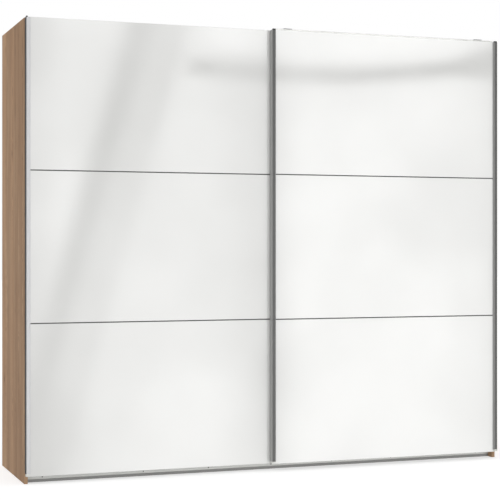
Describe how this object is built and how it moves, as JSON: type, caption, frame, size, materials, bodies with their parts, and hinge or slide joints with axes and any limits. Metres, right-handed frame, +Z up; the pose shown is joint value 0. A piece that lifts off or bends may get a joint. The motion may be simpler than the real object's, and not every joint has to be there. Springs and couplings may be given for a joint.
{
  "type": "sliding door wardrobe",
  "caption": "Wide oak-finish wardrobe with overlapping sliding doors faced in white glass, hung from a roof rail, with shelves and clothes rails inside.",
  "frame": {"origin": "on the floor, under the centre of the whole object's bounding box", "axes": "+X to the right seen from the front, along the doors' travel; -Y towards the front; +Z up"},
  "size_m": [2.47, 0.66, 2.173],
  "materials": {
    "oak_board": "matt planked oak foil on chipboard",
    "pale_board": "matt light grey linen-textured foil on chipboard",
    "hardboard": "lacquered hardboard",
    "white_glass": "polished, white back-painted glass",
    "grey_aluminium": "grey anodised",
    "silver_aluminium": "silver anodised",
    "zinc_steel": "zinc plated",
    "chrome": "polished",
    "nylon": "satin nylon",
    "dark_plastic": "satin"
  },
  "bodies": {
    "carcass": {"back_joiner_left": "pale_board", "back_joiner_right": "pale_board", "back_panel_left_inner": "hardboard", "back_panel_left_outer": "hardboard", "back_panel_right_inner": "hardboard", "back_panel_right_outer": "hardboard", "bottom_panel_left": "oak_board", "bottom_panel_right": "oak_board", "centre_partition": "oak_board", "clothes_rail_left": "chrome", "clothes_rail_right": "chrome", "front_plinth": "oak_board", "guide_rail": "silver_aluminium", "hat_shelf_left": "oak_board", "hat_shelf_right": "oak_board", "rail_socket_left_left": "zinc_steel", "rail_socket_left_right": "zinc_steel", "rail_socket_right_left": "zinc_steel", "rail_socket_right_right": "zinc_steel", "rear_plinth": "oak_board", "running_rail": "silver_aluminium", "side_panel_left": "oak_board", "side_panel_right": "oak_board", "top_panel_left": "oak_board", "top_panel_right": "oak_board", "track_stop_left": "dark_plastic", "track_stop_right": "dark_plastic"},
    "left_door": {"left_door_board": "pale_board", "left_door_divider_lower": "grey_aluminium", "left_door_divider_upper": "grey_aluminium", "left_door_glass_lower": "white_glass", "left_door_glass_middle": "white_glass", "left_door_glass_upper": "white_glass", "left_door_guide_left": "zinc_steel", "left_door_guide_right": "zinc_steel", "left_door_handle_left": "grey_aluminium", "left_door_handle_right": "grey_aluminium", "left_door_hanger_left": "zinc_steel", "left_door_hanger_right": "zinc_steel", "left_door_slider_left": "nylon", "left_door_slider_right": "nylon"},
    "right_door": {"right_door_board": "pale_board", "right_door_divider_lower": "grey_aluminium", "right_door_divider_upper": "grey_aluminium", "right_door_glass_lower": "white_glass", "right_door_glass_middle": "white_glass", "right_door_glass_upper": "white_glass", "right_door_guide_left": "zinc_steel", "right_door_guide_right": "zinc_steel", "right_door_handle_left": "grey_aluminium", "right_door_handle_right": "grey_aluminium", "right_door_hanger_left": "zinc_steel", "right_door_hanger_right": "zinc_steel", "right_door_slider_left": "nylon", "right_door_slider_right": "nylon", "right_door_top_trim": "silver_aluminium"},
    "left_door_wheel_left": {"left_door_wheel_left": "nylon"},
    "left_door_wheel_right": {"left_door_wheel_right": "nylon"},
    "right_door_wheel_left": {"right_door_wheel_left": "nylon"},
    "right_door_wheel_right": {"right_door_wheel_right": "nylon"}
  },
  "joints": [
    {"name": "left_door_slide", "type": "slide", "parent": "carcass", "child": "left_door", "axis": [1, 0, 0], "range_m": [0, 1.221]},
    {"name": "right_door_slide", "type": "slide", "parent": "carcass", "child": "right_door", "axis": [1, 0, 0], "range_m": [-1.201, 0.02]},
    {"name": "left_door_wheel_left_spin", "type": "hinge", "parent": "left_door", "child": "left_door_wheel_left", "pos_m": [-1.139, -0.25, 2.1221], "axis": [0, 1, 0], "range_deg": [0, 5000]},
    {"name": "left_door_wheel_right_spin", "type": "hinge", "parent": "left_door", "child": "left_door_wheel_right", "pos_m": [-0.082, -0.25, 2.1221], "axis": [0, 1, 0], "range_deg": [0, 5000]},
    {"name": "right_door_wheel_left_spin", "type": "hinge", "parent": "right_door", "child": "right_door_wheel_left", "pos_m": [0.062, -0.222, 2.1221], "axis": [0, 1, 0], "range_deg": [-4918, 84]},
    {"name": "right_door_wheel_right_spin", "type": "hinge", "parent": "right_door", "child": "right_door_wheel_right", "pos_m": [1.119, -0.222, 2.1221], "axis": [0, 1, 0], "range_deg": [-4918, 84]}
  ],
  "couplings": [
    {"joint": "left_door_wheel_left_spin", "follows": "left_door_slide", "rad_per_m": 71.429},
    {"joint": "left_door_wheel_right_spin", "follows": "left_door_slide", "rad_per_m": 71.429},
    {"joint": "right_door_wheel_left_spin", "follows": "right_door_slide", "rad_per_m": 71.429},
    {"joint": "right_door_wheel_right_spin", "follows": "right_door_slide", "rad_per_m": 71.429}
  ]
}
